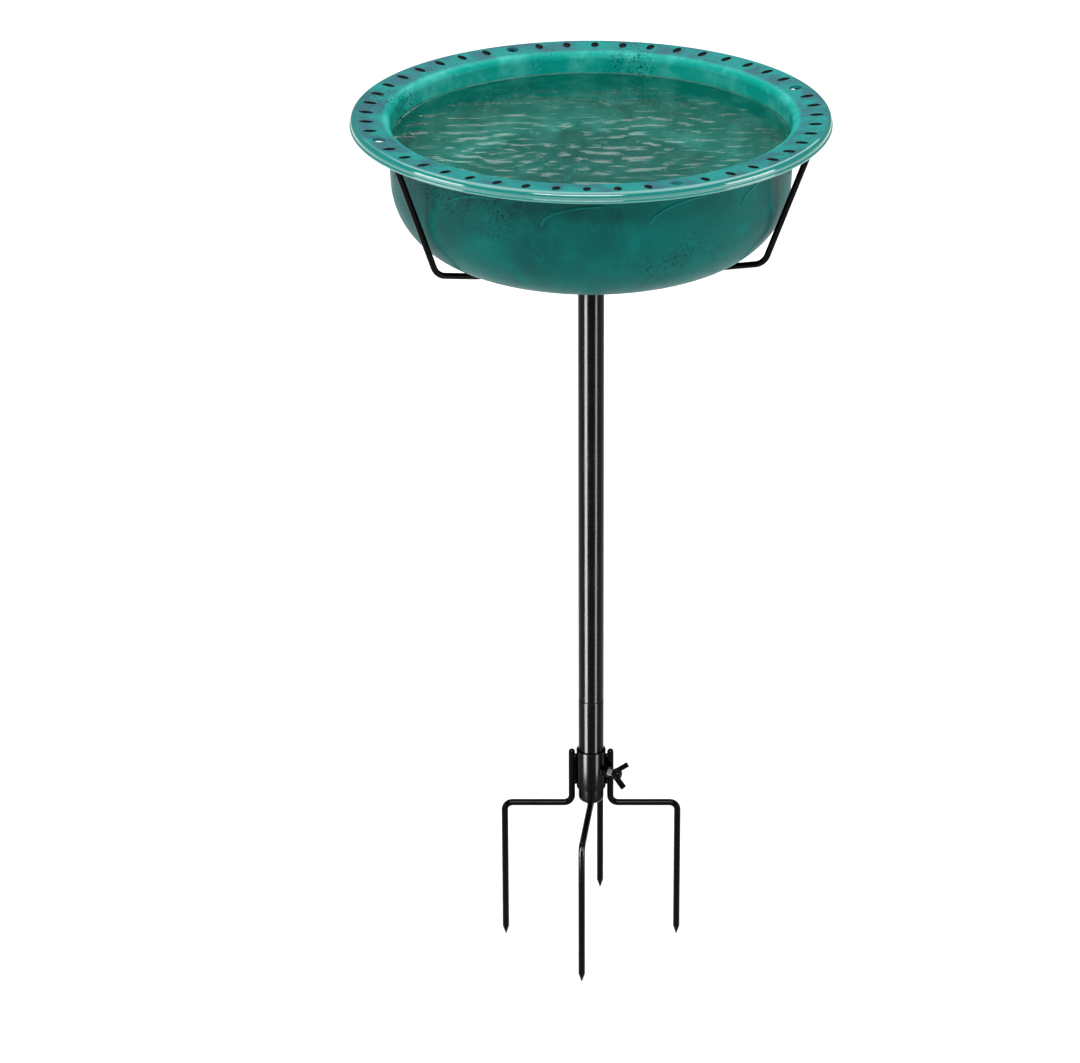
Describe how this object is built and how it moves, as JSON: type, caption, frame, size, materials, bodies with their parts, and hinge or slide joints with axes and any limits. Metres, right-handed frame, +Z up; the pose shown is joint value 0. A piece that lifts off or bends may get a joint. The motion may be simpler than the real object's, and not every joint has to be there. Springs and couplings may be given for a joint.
{
  "type": "bird bath",
  "caption": "Round garden bird bath: shallow glossy bowl with a notched rim, held in a wire cradle on a two-piece pole with a clamp collar and ground prongs.",
  "frame": {"origin": "on the pole's axis at the level of the prong tips", "axes": "+Z up along the pole, +X towards the right-hand side prong, +Y towards the rear prong"},
  "size_m": [0.34, 0.34, 0.6609],
  "materials": {
    "black_enamel": "gloss black enamel on steel",
    "zinc_steel": "bright zinc plate",
    "patina_teal": "mottled teal patina under a clear gloss"
  },
  "bodies": {
    "base": {"collar_tube": "black_enamel", "collar_end_plug": "black_enamel", "left_prong": "black_enamel", "right_prong": "black_enamel", "cross_prong": "black_enamel", "prong_weld_beads": "black_enamel", "clamp_nut": "black_enamel"},
    "clamp_shank": {"clamp_screw_shank": "zinc_steel"},
    "clamp_head": {"clamp_screw_wings": "black_enamel"},
    "lower_pole": {"lower_pole_tube": "black_enamel", "pole_joint_spigot": "zinc_steel"},
    "upper_pole": {"upper_pole_tube": "black_enamel"},
    "cradle": {"cradle_peg": "zinc_steel", "cradle_hub": "black_enamel", "left_cradle_arm": "black_enamel", "right_cradle_arm": "black_enamel", "rear_cradle_arm": "black_enamel", "cradle_ring": "black_enamel", "cradle_weld_beads": "black_enamel"},
    "bowl": {"bowl": "patina_teal"}
  },
  "joints": [
    {"name": "clamp_screw_travel", "type": "slide", "parent": "base", "child": "clamp_shank", "axis": [0.8746, -0.4848, 0], "range_m": [0, 0.00182]},
    {"name": "clamp_screw_turn", "type": "hinge", "parent": "clamp_shank", "child": "clamp_head", "pos_m": [0.02186, -0.01212, 0.1425], "axis": [0.8746, -0.4848, 0], "range_deg": [0, 810]},
    {"name": "lower_pole_draw", "type": "slide", "parent": "base", "child": "lower_pole", "axis": [0, 0, 1], "range_m": [0, 0.03]},
    {"name": "upper_pole_lift", "type": "slide", "parent": "lower_pole", "child": "upper_pole", "axis": [0, 0, 1], "range_m": [0, 0.032]},
    {"name": "cradle_swivel", "type": "hinge", "parent": "upper_pole", "child": "cradle", "pos_m": [0, 0, 0.5528], "axis": [0, 0, 1], "continuous": true},
    {"name": "bowl_lift", "type": "slide", "parent": "cradle", "child": "bowl", "axis": [0, 0, 1], "range_m": [0, 0.12]}
  ],
  "couplings": [
    {"joint": "clamp_screw_travel", "follows": "clamp_screw_turn", "m_per_rad": 0.00012732}
  ]
}
